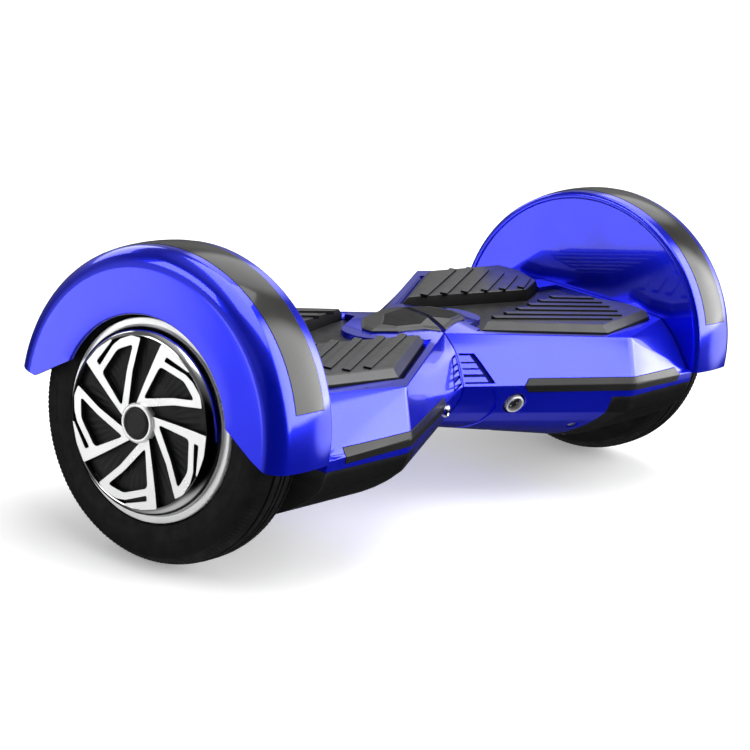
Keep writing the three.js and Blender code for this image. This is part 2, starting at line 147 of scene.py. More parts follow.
def corner(before, at, after, reach, count=3):
    """A corner rounded off by a curve that starts and ends at most reach away from it."""
    v, a, b = Vector(at), Vector(before), Vector(after)
    start = v + (a - v) * min(0.45, reach / max((a - v).length, 1e-6))
    end = v + (b - v) * min(0.45, reach / max((b - v).length, 1e-6))
    steps = [i / count for i in range(count + 1)]
    return [tuple(start * (1 - t) ** 2 + v * (2 * t * (1 - t)) + end * t * t) for t in steps]


def rounded(outline, reach, count=3):
    """A closed outline with every corner rounded."""
    n = len(outline)
    turns = [corner(outline[i - 1], outline[i], outline[(i + 1) % n], reach, count)
             for i in range(n)]
    return [p for turn in turns for p in turn]


def flowing(points, per):
    """A smooth line through the points, with per steps between two of them."""
    p = [Vector(q) for q in points]
    gaps = [max((b - a).length, 1e-6) for a, b in zip(p, p[1:])]
    slopes = [(b - a) / g for a, b, g in zip(p, p[1:], gaps)]
    tangents = [slopes[0]]
    for i in range(1, len(p) - 1):
        share = gaps[i - 1] / (gaps[i - 1] + gaps[i])
        tangents.append(slopes[i - 1] * (1 - share) + slopes[i] * share)
    tangents.append(slopes[-1])
    line = [tuple(p[0])]
    for i, gap in enumerate(gaps):
        for k in range(1, per + 1):
            t = k / per
            h = (p[i] * (2 * t ** 3 - 3 * t ** 2 + 1) + p[i + 1] * (3 * t ** 2 - 2 * t ** 3)
                 + tangents[i] * gap * (t ** 3 - 2 * t ** 2 + t)
                 + tangents[i + 1] * gap * (t ** 3 - t ** 2))
            line.append(tuple(h))
    return line


def grown(outline, offsets):
    """The outline moved outwards; offsets is one distance, or one for each edge."""
    n = len(outline)
    if not isinstance(offsets, (list, tuple)):
        offsets = [offsets] * n
    area = sum(outline[i - 1][0] * outline[i][1] - outline[i][0] * outline[i - 1][1]
               for i in range(n))
    sign = 1 if area > 0 else -1
    lines = []
    for i in range(n):
        a, b = Vector(outline[i]), Vector(outline[(i + 1) % n])
        d = (b - a).normalized()
        lines.append((a + Vector((d.y, -d.x)) * sign * offsets[i], d))
    moved = []
    for i in range(n):
        (p, d), (q, e) = lines[i - 1], lines[i]
        t = ((q - p).x * e.y - (q - p).y * e.x) / (d.x * e.y - d.y * e.x)
        moved.append(tuple(p + d * t))
    return moved


# ---- solids: temporary objects in millimetres ----
def solid(vertices, faces):
    mesh = bpy.data.meshes.new("solid")
    mesh.from_pydata([tuple(v) for v in vertices], [], faces)
    bm = bmesh.new()
    bm.from_mesh(mesh)
    bmesh.ops.remove_doubles(bm, verts=bm.verts, dist=1e-4)
    bmesh.ops.recalc_face_normals(bm, faces=bm.faces)
    bm.to_mesh(mesh)
    bm.free()
    obj = bpy.data.objects.new("solid", mesh)
    SCENE.collection.objects.link(obj)
    return obj


def skinned(rings, closed_ends=True):
    """A closed skin through rings with the same number of points."""
    n = len(rings[0])
    vertices = [p for ring in rings for p in ring]
    faces = []
    for r in range(len(rings) - 1):
        for i in range(n):
            a, b = r * n + i, r * n + (i + 1) % n
            faces.append((a, b, b + n, a + n))
    if closed_ends:
        faces.append(tuple(range(n))[::-1])
        faces.append(tuple(range((len(rings) - 1) * n, len(rings) * n)))
    return solid(vertices, faces)


def stacked(levels):
    """A solid through level outlines, each given with its height."""
    return skinned([[(x, y, z) for x, y in outline] for outline, z in levels])


def prism_z(outline, low, high):
    return stacked([(outline, low), (outline, high)])


def prism_y(outline, low, high):
    return skinned([[(x, y, z) for x, z in outline] for y in (low, high)])


def prism_x(outline, low, high):
    return skinned([[(x, y, z) for y, z in outline] for x in (low, high)])


def box(x0, x1, y0, y1, z0, z1):
    return prism_z([(x0, y0), (x1, y0), (x1, y1), (x0, y1)], z0, z1)


def turned(profile, segments=96, shape=None):
    """A closed profile of (radius, x) turned about the axle. shape may move a point."""
    rings = []
    for s in range(segments):
        a = 2 * math.pi * s / segments
        ring = []
        for i, (r, x) in enumerate(profile):
            if shape:
                r, x = shape(i, s, r, x)
            ring.append((x, r * math.cos(a), r * math.sin(a)))
        rings.append(ring)
    return skinned(rings + [rings[0]], closed_ends=False)


def rod(radius, x0, x1, segments=48):
    return prism_x(arc(0, 0, radius, 0, 360 * (1 - 1 / segments), segments - 1), x0, x1)


def combine(obj, tools, operation):
    """Adds, cuts or intersects obj with the tools, which are used up."""
    for tool in tools:
        step = obj.modifiers.new("cut", "BOOLEAN")
        step.operation = operation
        step.solver = "MANIFOLD"
        step.object = tool
    bake(obj)
    for tool in tools:
        bpy.data.objects.remove(tool)
    return obj


def cut(obj, *tools):
    return combine(obj, tools, "DIFFERENCE")


def join(obj, *tools):
    return combine(obj, tools, "UNION")


def keep(obj, *tools):
    return combine(obj, tools, "INTERSECT")


def joined(solids):
    """One solid out of several, added one after another."""
    for other in solids[1:]:
        join(solids[0], other)
    return solids[0]


def bake(obj):
    """Applies the solid's modifiers."""
    mesh = bpy.data.meshes.new_from_object(
        obj.evaluated_get(bpy.context.evaluated_depsgraph_get()))
    obj.modifiers.clear()
    obj.data = mesh


def eased(obj, width, fold, miter="MITER_SHARP"):
    """The solid with its edges sharper than fold degrees rounded."""
    edge = obj.modifiers.new("edges", "BEVEL")
    edge.width = width
    edge.segments = 3
    edge.limit_method = "ANGLE"
    edge.angle_limit = math.radians(fold)
    edge.miter_outer = miter
    bake(obj)
    return obj


def changed(obj, matrix):
    obj.data.transform(matrix)
    if matrix.determinant() < 0:
        obj.data.flip_normals()
    return obj


def mirrored(obj, axis):
    return changed(obj, Matrix.Scale(-1, 4, axis))


def copied(obj):
    twin = obj.copy()
    twin.data = obj.data.copy()
    SCENE.collection.objects.link(twin)
    return twin


def both_ways(obj):
    """The solid and its mirror image on the other side of the axle."""
    return [obj, mirrored(copied(obj), (0, 1, 0))]


MIRROR = Matrix.Scale(-1, 4, (1, 0, 0))
HALF_TURN = Matrix.Rotation(math.pi, 4, "Z")
TO_FRAME = Matrix.Translation((0, 0, AXLE_Z)) @ Matrix.Scale(M, 4)


def finished(name, obj, side, material, body, nodes=(), slot=None, bevel=0.0, fold=32):
    """Moves a solid into the frame as a named piece: mirrored for "left", turned for "turned"."""
    matrix = {"left": MIRROR, "turned": HALF_TURN}.get(side, Matrix.Identity(4))
    changed(obj, TO_FRAME @ matrix)
    obj.name = name
    obj.data.name = name
    obj.data.materials.clear()
    for m in (material if isinstance(material, list) else [material]):
        obj.data.materials.append(m)
    if bevel:
        eased(obj, bevel * M, fold, "MITER_ARC")
    shade(obj.data, fold)
    normals = obj.modifiers.new("normals", "WEIGHTED_NORMAL")
    normals.keep_sharp = True
    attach(obj, body)
    if nodes:
        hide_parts(*nodes)
    return obj


def shade(mesh, fold):
    """Smooth shading that breaks at edges sharper than fold degrees."""
    bm = bmesh.new()
    bm.from_mesh(mesh)
    limit = math.radians(fold)
    for face in bm.faces:
        face.smooth = True
    for edge in bm.edges:
        edge.smooth = len(edge.link_faces) == 2 and edge.calc_face_angle(0) < limit
    bm.to_mesh(mesh)
    bm.free()


# ---- materials ----
class Nodes:
    """A node tree being built."""

    def __init__(self, name):
        self.material = bpy.data.materials.new(name)
        self.material.use_nodes = True
        self.tree = self.material.node_tree
        self.tree.nodes.clear()
        self.shader = self.add("ShaderNodeBsdfPrincipled")
        output = self.add("ShaderNodeOutputMaterial")
        self.link(self.shader.outputs[0], output.inputs["Surface"])
        self.place = self.add("ShaderNodeTexCoord").outputs["Object"]

    def add(self, kind, **values):
        node = self.tree.nodes.new(kind)
        for key, value in values.items():
            setattr(node, key, value)
        return node

    def link(self, source, target):
        self.tree.links.new(source, target)

    def noise(self, scale, detail=3, roughness=0.5):
        node = self.add("ShaderNodeTexNoise")
        self.link(self.place, node.inputs["Vector"])
        node.inputs["Scale"].default_value = scale
        node.inputs["Detail"].default_value = detail
        node.inputs["Roughness"].default_value = roughness
        return node.outputs["Fac"]

    def cells(self, scale, feature="F1"):
        node = self.add("ShaderNodeTexVoronoi", feature=feature)
        self.link(self.place, node.inputs["Vector"])
        node.inputs["Scale"].default_value = scale
        return node.outputs["Distance"]

    def spread(self, source, low, high, to_low=0.0, to_high=1.0):
        node = self.add("ShaderNodeMapRange")
        self.link(source, node.inputs["Value"])
        node.inputs["From Min"].default_value = low
        node.inputs["From Max"].default_value = high
        node.inputs["To Min"].default_value = to_low
        node.inputs["To Max"].default_value = to_high
        return node.outputs["Result"]

    def patches(self, scale, detail, low=0.0, high=1.0):
        """Soft cloudy patches between two values."""
        return self.spread(self.noise(scale, detail), 0.3, 0.7, low, high)

    def blend(self, factor, first, second):
        node = self.add("ShaderNodeMix", data_type="RGBA")
        self.link(factor, node.inputs["Factor"])
        for index, colour in ((6, first), (7, second)):
            if isinstance(colour, tuple):
                node.inputs[index].default_value = (*colour, 1)
            else:
                self.link(colour, node.inputs[index])
        return node.outputs[2]

    def math(self, operation, a, b):
        node = self.add("ShaderNodeMath", operation=operation)
        for socket, value in zip(node.inputs, (a, b)):
            if isinstance(value, (int, float)):
                socket.default_value = value
            else:
                self.link(value, socket)
        return node.outputs[0]

    def bump(self, height, distance, strength=1.0, below=None):
        node = self.add("ShaderNodeBump")
        self.link(height, node.inputs["Height"])
        node.inputs["Distance"].default_value = distance
        node.inputs["Strength"].default_value = strength
        if below is not None:
            self.link(below, node.inputs["Normal"])
        return node.outputs["Normal"]

    def edges(self, low, high):
        """1 on convex edges and 0 on flat surfaces."""
        return self.spread(self.add("ShaderNodeNewGeometry").outputs["Pointiness"], low, high)

    def set(self, **values):
        for key, value in values.items():
            socket = self.shader.inputs[key.replace("_", " ")]
            if hasattr(value, "is_linked"):
                self.link(value, socket)
            elif isinstance(value, tuple):
                socket.default_value = (*value, 1)
            else:
                socket.default_value = value


def plated():
    """Vacuum-plated blue under a clear lacquer, with a faint orange peel."""
    n = Nodes("plated_blue")
    tone = n.spread(n.noise(9, 4), 0.35, 0.65)
    n.set(Base_Color=n.blend(tone, (0.003, 0.011, 0.86), (0.006, 0.018, 0.96)),
          Roughness=n.patches(30, 5, 0.18, 0.26),
          Normal=n.bump(n.noise(420, 2), 0.00001), Metallic=0.76,
          Coat_Weight=1.0, Coat_Roughness=0.035, Coat_IOR=1.5)
    return n.material


def moulded(name, dark, light, rough, grain, depth, edge=None, gloss=0.5, sheen=0.0):
    """A moulded plastic or rubber: a fine cell grain, slightly rubbed edges, a satin skin."""
    n = Nodes(name)
    base = n.blend(n.patches(24, 6), dark, light)
    if edge:
        base = n.blend(n.edges(0.52, 0.6), base, edge)
    cells = n.cells(grain)
    speck = n.noise(grain * 1.7, 2)
    n.set(Base_Color=base, Normal=n.bump(n.math("ADD", cells, speck), depth),
          Roughness=n.patches(60, 5, rough - 0.07, rough + 0.07),
          Specular_IOR_Level=gloss, Coat_Weight=sheen, Coat_Roughness=0.22, Coat_IOR=1.5)
    return n.material


def smoked(name, dark, light, coat_ior):
    """A smoked translucent lens: glossy outside, faintly cloudy inside."""
    n = Nodes(name)
    cloud = n.math("MULTIPLY", n.patches(14, 4), n.noise(900, 2))
    n.set(Base_Color=n.blend(cloud, dark, light),
          Roughness=n.patches(50, 4, 0.3, 0.4),
          Specular_IOR_Level=0.15, Coat_Weight=1.0, Coat_Roughness=0.09, Coat_IOR=coat_ior)
    return n.material


def tyre_rubber():
    """Black rubber with mould texture and a little dust."""
    n = Nodes("tyre_rubber")
    dust = n.spread(n.noise(70, 8, 0.65), 0.5, 0.8)
    n.set(Base_Color=n.blend(dust, (0.0045, 0.0045, 0.0047), (0.0105, 0.0105, 0.0105)),
          Roughness=n.patches(120, 5, 0.5, 0.72), Specular_IOR_Level=0.25,
          Normal=n.bump(n.noise(1500, 3), 0.00006))
    return n.material


def metal(name, dark, light, rough, scale, depth, metallic=1.0, coat=0.0):
    """A metal with fine tool marks or a cast grain, by its scale."""
    n = Nodes(name)
    tone = n.patches(scale * 0.12, 4)
    n.set(Base_Color=n.blend(tone, dark, light), Metallic=metallic,
          Roughness=n.patches(scale * 0.5, 4, rough * 0.8, rough * 1.2),
          Normal=n.bump(n.noise(scale, 3), depth), Coat_Weight=coat, Coat_Roughness=0.08)
    return n.material


def turned_alloy(name, dark, light, metallic, rough):
    """Machined bright alloy with a fine turned grain."""
    n = Nodes(name)
    n.set(Base_Color=n.blend(n.patches(40, 4), (dark,) * 3, (light,) * 3),
          Metallic=metallic, Roughness=n.patches(90, 5, rough, rough + 0.08),
          Normal=n.bump(n.noise(2600, 2), 0.000004), Coat_Weight=0.3, Coat_Roughness=0.12)
    return n.material


def wound_copper():
    """Enamelled copper wire wound round the teeth."""
    n = Nodes("copper")
    turns = n.add("ShaderNodeTexWave", wave_type="BANDS", bands_direction="X")
    n.link(n.place, turns.inputs["Vector"])
    turns.inputs["Scale"].default_value = 300
    n.set(Base_Color=n.blend(n.patches(80, 4), (0.42, 0.16, 0.06),
                             (0.62, 0.27, 0.11)),
          Metallic=0.85, Roughness=n.patches(60, 4, 0.32, 0.48),
          Normal=n.bump(turns.outputs["Fac"], 0.0002))
    return n.material


BLUE = plated()
# Painted shade: a dark copy of the plated blue for the vent backs and the cups behind the holes.
RECESS_SHADE = moulded("recess_blue", (0.001, 0.002, 0.12), (0.002, 0.003, 0.2), 0.6, 1500, 0.00003,
               gloss=0.1)
PAD = moulded("pad_rubber", (0.022, 0.022, 0.023), (0.032, 0.032, 0.0333), 0.55, 1300, 0.00006,
              (0.055, 0.055, 0.057), gloss=0.3, sheen=0.6)
# Painted shade: a near-black copy of the pad rubber for the pads' steep walls, where shade falls.
PAD_WALL_SHADE = moulded("pad_side", (0.002, 0.002, 0.002), (0.004, 0.004, 0.004), 0.6, 1300,
                   0.00006, gloss=0.15)
ARMOUR = moulded("waist_armour", (0.026, 0.026, 0.027), (0.036, 0.036, 0.0375), 0.4, 1600,
                 0.00003, (0.06, 0.06, 0.062), gloss=0.35, sheen=0.4)
INLAY = moulded("armour_inlay", (0.008, 0.008, 0.0085), (0.014, 0.014, 0.0145), 0.45, 1600,
                0.00003, gloss=0.08)
BLACK = moulded("black_plastic", (0.003, 0.003, 0.0033), (0.006, 0.006, 0.0065), 0.36, 1500,
                0.00004, (0.02, 0.02, 0.021), gloss=0.3)
GLOSS = moulded("black_gloss", (0.0065, 0.0065, 0.007), (0.0105, 0.0105, 0.011), 0.42, 1800,
                0.00002, gloss=0.3)
CAP = moulded("cap_grey", (0.014, 0.014, 0.0147), (0.02, 0.02, 0.021), 0.45, 1500, 0.00003,
              gloss=0.3)
LENS = smoked("smoked_lens", (0.012, 0.0115, 0.0105), (0.026, 0.0252, 0.0228), 1.34)
DARK_LENS = smoked("dark_lens", (0.008, 0.008, 0.0078), (0.018, 0.0176, 0.0166), 1.2)
RUBBER = tyre_rubber()
ALLOY = turned_alloy("bright_alloy", 0.88, 0.95, 0.6, 0.2)
DISH = turned_alloy("polished_dish", 0.7, 0.8, 1.0, 0.1)
CHROME = metal("chrome", (0.72, 0.72, 0.73), (0.84, 0.84, 0.85), 0.12, 600, 0.00001)
CAST = metal("cast_alloy", (0.4, 0.41, 0.42), (0.55, 0.56, 0.57), 0.55, 900, 0.00012)
STEEL = metal("steel", (0.45, 0.45, 0.46), (0.6, 0.6, 0.61), 0.32, 1400, 0.00003)
COPPER = wound_copper()
BOARD = moulded("circuit_board", (0.012, 0.11, 0.05), (0.02, 0.17, 0.08), 0.35, 400, 0.0001)
WRAP = moulded("battery_wrap", (0.02, 0.06, 0.26), (0.03, 0.09, 0.34), 0.3, 90, 0.0003)


# ---- the outer form of one half ----
def plain_section(x):
    """The control points at x, straight between the waist, the corner and the end."""
    waist = mix_section(SEAM_SECTION, CORNER_SECTION, WAIST_X / CORNER_X)
    waist = [(y, CORNER_SECTION[i][1] if i < 2 else z) for i, (y, z) in enumerate(waist)]
    if x <= WAIST_X:
        return mix_section(SEAM_SECTION, waist, x / WAIST_X)
    if x <= CORNER_X:
        return mix_section(waist, CORNER_SECTION, (x - WAIST_X) / (CORNER_X - WAIST_X))
    return mix_section(CORNER_SECTION, END_SECTION, (x - CORNER_X) / (END_X - CORNER_X))


BEND = 2.5      # the folds at the waist and the corner are rounded over this distance


def section(x):
    """The control points at x, eased over the folds across the board."""
    around = [plain_section(x + BEND * k / 2) for k in (-2, -1, 0, 1, 2)]
    return [tuple(sum(s[i][c] for s in around) / len(around) for c in (0, 1))
            for i in range(len(SEAM_SECTION))]


def drawn(points):
    """The section's full line: flat deck, curved side, soft crease, curved underside."""
    side = flowing(points[SHOULDER:CREASE + 1], 4)
    flank = flowing(points[CREASE:CHINE + 1], 4)
    under = flowing(points[CHINE:], 4)
    crease = corner(side[-2], side[-1], flank[1], 0.9)
    chine = corner(flank[-2], flank[-1], under[1], 2.5)
    top = [points[0], *corner(points[0], points[1], points[2], 1.2), *points[2:SHOULDER]]
    return top + side[:-1] + crease + flank[1:-1] + chine + under[1:]


def stations(x0, x1):
    """Where the form's rings stand: evenly, and closer together round the folds."""
    regular = [x0 + (x1 - x0) * i / 44 for i in range(45)]
    folds = [fold + BEND * k / 2 for fold in (WAIST_X, CORNER_X) for k in range(-3, 4)]
    inside = [x for x in folds if x0 < x < x1]
    clear = [x for x in regular if all(abs(x - f) > 0.8 for f in inside)]
    return sorted(set(clear + inside + [x0, x1]))


def form(x0, x1, grow=0.0):
    """The closed form between x0 and x1; grow is added to its half width and its heights."""
    rings = []
    for x in stations(x0, x1):
        points = section(x)
        wide = max(p[0] for p in points)
        high, low = points[0][1], -points[-1][1]
        line = [(y * (1 + grow / wide), z * (1 + grow / (high if z > 0 else low)))
                for y, z in drawn(points)]
        front = [(x, -y, z) for y, z in line]
        rear = [(x, y, z) for y, z in line[-2:0:-1]]
        rings.append(front + rear)
    return skinned(rings)


def layer(low, high):
    """The layer between two distances from the form's surface."""
    return cut(form(SEAM_X - 0.5, BODY_END + 0.5, high), form(SEAM_X - 1, BODY_END + 1, low))


def half_width(x, z):
    points = section(x)
    i = next(k for k in range(3, len(points)) if points[k][1] <= z)
    (y0, z0), (y1, z1) = points[i - 1], points[i]
    return mix(y0, y1, (z0 - z) / (z0 - z1))


def deck_height(x, y):
    """Height of the upper surface at (x, y)."""
    points = section(x)[:CREASE + 1]
    y = abs(y)
    for (y0, z0), (y1, z1) in zip(points, points[1:]):
        if y <= y1:
            return mix(z0, z1, (y - y0) / max(y1 - y0, 1e-6))
    return points[-1][1]


def stood(place, out):
    """The matrix that puts a solid at place, with its own +X pointing along out."""
    turn = Vector((1, 0, 0)).rotation_difference(out).to_matrix().to_4x4()
    return Matrix.Translation(place) @ turn


def on_front_face(obj, x, z):
    """Stands a solid on the front face at (x, z); its own +X points out of the face."""
    slope_x = half_width(x + 1, z) - half_width(x, z)
    slope_z = half_width(x, z + 1) - half_width(x, z)
    normal = Vector((-slope_x, -1, -slope_z)).normalized()
    return changed(obj, stood((x, -half_width(x, z), z), normal))


# ---- shells ----
def hollow(start):
    """The form from start to its outer end, without the space inside its wall."""
    inside = form(SEAM_X + SHELL_WALL, BODY_END - SHELL_WALL, -SHELL_WALL)
    return cut(form(start, BODY_END), inside)


def bores():
    """The holes for the pivot tube and for the axle."""
    return [rod(PIVOT_HOLE, -1, 10), rod(AXLE_HOLE, 230, 250)]


def strip_outline(margin, pointed):
    """(x, z) round a light strip; it drops towards the wheel, and may end in a point."""
    if pointed:
        end = [(STRIP_OUT - 5, STRIP_TOP - STRIP_DROP + margin), (STRIP_OUT + margin, -STRIP_DROP),
               (STRIP_OUT - 5, STRIP_LOW - STRIP_DROP - margin)]
    else:
        end = [(STRIP_OUT + margin, STRIP_TOP - STRIP_DROP + margin),
               (STRIP_OUT + margin, STRIP_LOW - STRIP_DROP - margin)]
    return [(STRIP_IN - margin * 2, 0), (STRIP_IN + 4, STRIP_TOP + margin),
            (CORNER_X, STRIP_TOP + margin), *end,
            (CORNER_X, STRIP_LOW - margin), (STRIP_IN + 4, STRIP_LOW - margin)]


def strip(margin, low, high, pointed):
    """The front strip between two distances from the form's surface."""
    return keep(prism_y(strip_outline(margin, pointed), -FAR, -10), layer(low, high))


def pad_opening():
    """The opening round a foot pad, with a plated slope that is wide along its long edge."""
    near = grown(PAD_BASE, PAD_GAP)
    wide = grown(PAD_BASE, [4.2, 1.6, 1.6, 1.6, 1.4, 1.4])
    return stacked([(near, 20), (near, 32.2), (wide, 35.1), (wide, 60)])


VALLEY_LOOP = VALLEY + [(x, -y) for x, y in reversed(VALLEY)]
VENT = [(2, 2), (2, 23), (15, 23), (28, 2)]
VENT_DEPTH = 2.4
VENT_MARGIN = 5
SLAT_ROWS = [(3.2, 6.6), (8.6, 11.7), (12.9, 16), (17.2, 21.4)]


def vent_slats():
    """The slats inside a vent, which follow the curve of the face."""
    (_, low_z), (_, high_z), (high_x, _), (low_x, _) = VENT
    rows = []
    for low, high in SLAT_ROWS:
        ends = [mix(low_x, high_x, (z - low_z) / (high_z - low_z)) - VENT_MARGIN
                for z in (low, high)]
        outline = [(2.2, low), (2.2, high), (ends[1], high), (ends[0], low)]
        rows.append(prism_y(outline, -FAR, -5))
    return keep(joined(rows), layer(-VENT_DEPTH - 0.3, -0.5))


def upper_skin(pointed):
    """The plated upper shell, open for the pads, the valley, the strips and the vents."""
    shell = hollow(SEAM_X)
    keep(shell, box(-FAR, FAR, -FAR, FAR, PARTING, FAR))
    slab = prism_z(grown(VALLEY_LOOP, 3), VALLEY_Z - 2.7, VALLEY_Z + 1.4)
    join(shell, keep(slab, form(SEAM_X, BODY_END, -0.5)))
    vent = keep(prism_y(VENT, -FAR, -5), layer(-VENT_DEPTH, 2))
    backing = keep(prism_y(grown(VENT, 2), -FAR, -5), layer(-VENT_DEPTH - 2.2, -0.6))
    join(shell, *both_ways(backing))
    tools = [prism_z(VALLEY_LOOP, VALLEY_Z, 60), *both_ways(pad_opening()),
             *both_ways(strip(GAP, -2, 2, pointed)), *both_ways(vent), *bores()]
    cut(shell, *tools)
    return join(shell, *both_ways(vent_slats()))


def vent_backs():
    """Dark panels behind the slats of the two vents: painted shade in the vent recesses."""
    back = keep(prism_y(VENT, -FAR, -5), layer(-VENT_DEPTH - 0.25, -VENT_DEPTH + 0.3))
    front, rear = both_ways(back)
    return join(front, rear)


def tray_floor():
    """The black foot tray where it shows in the valley between the two pads."""
    slab = prism_z(grown(VALLEY_LOOP, -0.4), VALLEY_Z - 0.3, VALLEY_Z + 0.4)
    return cut(keep(slab, form(SEAM_X, BODY_END, -0.6)), *both_ways(pad_opening()))


COLLAR = [(24.6, -2), (27.2, -2), (34.6, -16), (34.6, -FAR), (32, -FAR), (32, -16)]
BOSSES = [(121, -82), (121, 82), (70, -36), (70, 36)]


def lower_skin(pointed, hole):
    """The plated lower shell, with its collar groove, screw hollows and one round hole."""
    shell = hollow(SEAM_X)
    keep(shell, box(-FAR, FAR, -FAR, FAR, -FAR, -PARTING))
    collar = keep(prism_y(COLLAR, -FAR, FAR), layer(-1.3, 1))
    tools = [box(BELLY_X, FAR, -FAR, FAR, -FAR, BAND_Z), collar,
             *both_ways(strip(GAP, -2, 2, pointed)), *bores(), hole]
    cut(shell, *tools)
    for x, y in BOSSES:
        cut(shell, changed(rod(5, -2, 2, 32), standing(x, y, 0.6)))
    return shell


BELLY_SCREWS = [(146, -62), (146, 62), (190, 30), (190, -30), (232, -70), (232, 70)]


def underside(x, y):
    """Height of the underside at (x, y), and the direction out of it."""
    def height(u, v):
        points = drawn(section(u))
        points = points[max(range(len(points)), key=lambda i: points[i][0]):]
        for (y0, z0), (y1, z1) in zip(points, points[1:]):
            if y0 >= abs(v) >= y1:
                return mix(z0, z1, (y0 - abs(v)) / max(y0 - y1, 1e-6))
        return points[-1][1]
    slope_x = height(x + 1, y) - height(x, y)
    slope_y = height(x, y + 1) - height(x, y)
    return height(x, y), Vector((slope_x, slope_y, -1)).normalized()


def standing(x, y, sunk=0.0):
    """The matrix that stands a solid in the underside; its own +X points outwards."""
    z, out = underside(x, y)
    return stood(Vector((x, y, z)) - out * sunk, out)


def screw_head():
    """A pan head with a cross recess; its own +X points out of the head."""
    radius = 3.4
    profile = [(0, -1.5), (radius, -1.5), (radius, -0.1), (radius * 0.9, 0.35),
               (radius * 0.6, 0.7), (0, 0.8)]
    head = turned(profile, 32)
    long, short = radius * 0.55, radius * 0.16
    return cut(head, box(0.1, 2, -long, long, -short, short),
               box(0.1, 2, -short, short, -long, long))


def belly():
    """The black belly cover, with counterbored screws and a shallow panel line."""
    cover = hollow(BELLY_X + GAP)
    keep(cover, box(BELLY_X + GAP, FAR, -FAR, FAR, -FAR, BAND_Z - GAP))
    line = cut(box(150, 228, -52, 52, -60, -57.1), box(151.2, 226.8, -50.8, 50.8, -61, -56))
    cut(cover, line, rod(AXLE_HOLE, 230, 250))
    for x, y in BELLY_SCREWS:
        cut(cover, changed(rod(4.6, -1.2, 2, 32), standing(x, y)))
    return cover


# ---- waist armour ----
ARMOUR_EDGE = [(3, -28.5), (18, -24.2), (43.5, -17.5), (59, -5), (59, 4), (43, 17), (3, 28.5)]
ARMOUR_RIM = [(3, -26), (18, -21.8), (41.5, -15.3), (55.5, -4), (55.5, 3.4), (41.5, 15), (3, 26)]
ARMOUR_TOP = [(3, -15), (18, -20.6), (40, -14.4), (47, -4), (37, 2), (27, 9), (3, 9)]
ARMOUR_INSET = [(3, -14.2), (18, -19.6), (39.4, -13.6), (45.6, -4), (36.6, 1.2), (26.8, 8.2),
                (3, 8.2)]


def plate(levels):
    """A plate that follows the deck; levels are outlines with their heights over it."""
    return skinned([[(x, y, deck_height(x, y) + lift) for x, y in outline]
                    for outline, lift in levels])


def armour():
    """A faceted plate over the ridge: a low rim, sloping facets and a raised middle."""
    return plate([(ARMOUR_EDGE, 0.3), (ARMOUR_EDGE, 1.5), (ARMOUR_RIM, 2.3), (ARMOUR_TOP, 3.3)])


def armour_inlay():
    """The darker facet on the raised middle of the armour."""
    return plate([(ARMOUR_INSET, 2.8), (ARMOUR_INSET, 3.55)])


# ---- foot pads ----
def foot_pad():
    """The rear right pad: steep sides, a sloping rim and six raised ribs."""
    pad = stacked([(PAD_BASE, PAD_FOOT), (PAD_BASE, PAD_SHOULDER), (PAD_CROWN, PAD_TOP)])
    eased(pad, 0.7, 25)
    for x0, y0, x1, y1 in PAD_RIBS:
        join(pad, rib(Vector((x0, y0)), Vector((x1, y1))))
    return pad


def rib(start, end):
    """A raised bar with a rounded top edge and blunt ends."""
    along = (end - start).normalized()
    across = Vector((-along.y, along.x))
    ease = 0.35
    levels = [(0, PAD_TOP - 1), (0, PAD_TOP + RIB_RAISE - ease), (ease * 0.3, PAD_TOP + RIB_RAISE
              - ease * 0.3), (ease, PAD_TOP + RIB_RAISE)]
    rings = []
    for inset, z in levels:
        half = RIB_W / 2 - inset
        a, b = start + along * inset, end - along * inset
        corners = [a - across * half, b - across * half, b + across * half, a + across * half]
        rings.append([(p.x, p.y, z) for p in corners])
    return skinned(rings)


# ---- fender ----
LIP_R = 110.5
DISC_STEP = 1.0
FILLET_IN = 3.6
FILLET_OUT = 15
LIGHT_X = (254, 284)
CROWN_SAG = 0.7
FLANGE_BULGE = 0.2      # the outer flange swells by this much towards its opening


def crown(x):
    """How far the arch's crown lies under its highest line at x."""
    middle = sum(LIGHT_X) / 2
    return CROWN_SAG * ((x - middle) / (LIGHT_X[1] - middle)) ** 2


def fender_profile():
    """(radius, x) round the arch: recessed disc, lip, crown, wide fillet, flange, inside."""
    disc = FENDER_IN + DISC_STEP
    edge_in = FENDER_IN + FILLET_IN
    edge_out = FENDER_OUT - FLANGE_BULGE - FILLET_OUT
    inner_r = FENDER_R - crown(edge_in) - FILLET_IN
    outer_r = FENDER_R - crown(edge_out) - FILLET_OUT
    inner_fillet = arc(inner_r, edge_in, FILLET_IN, -90, -6, 6)
    across = [mix(edge_in, edge_out, i / 10) for i in range(1, 10)]
    top = [(FENDER_R - crown(x), x) for x in across]
    outer_fillet = arc(outer_r, edge_out, FILLET_OUT, 6, 90, 18)
    inside = arc(outer_r, edge_out, FILLET_OUT - 3, 90, 0, 8)
    return [(30, disc), (LIP_R, disc), (LIP_R + 0.9, disc - 0.35), (LIP_R + 1.4, FENDER_IN),
            *inner_fillet, *top, *outer_fillet, (96, FENDER_OUT - 0.12), (84, FENDER_OUT - 0.04),
            (73, FENDER_OUT), (72.3, FENDER_OUT - 0.3), (72, FENDER_OUT - 1),
            (72, FENDER_OUT - 3), *inside, (115, FENDER_IN + 4), (114, FENDER_IN + 2.7),
            (30, FENDER_IN + 2.7)]


FENDER_BELOW = [(-FAR, -3), (-106, -3), (-95, 2), (-70, 17), (63, 27), (98, 4.5), (118, 7.5),
                (FAR, 7.5), (FAR, -FAR), (-FAR, -FAR)]
LIGHT_START = 17.4      # degrees above the horizontal
LIGHT_SEAT = 116.4      # radius of the groove's floor
LENS_BACK = 116.7


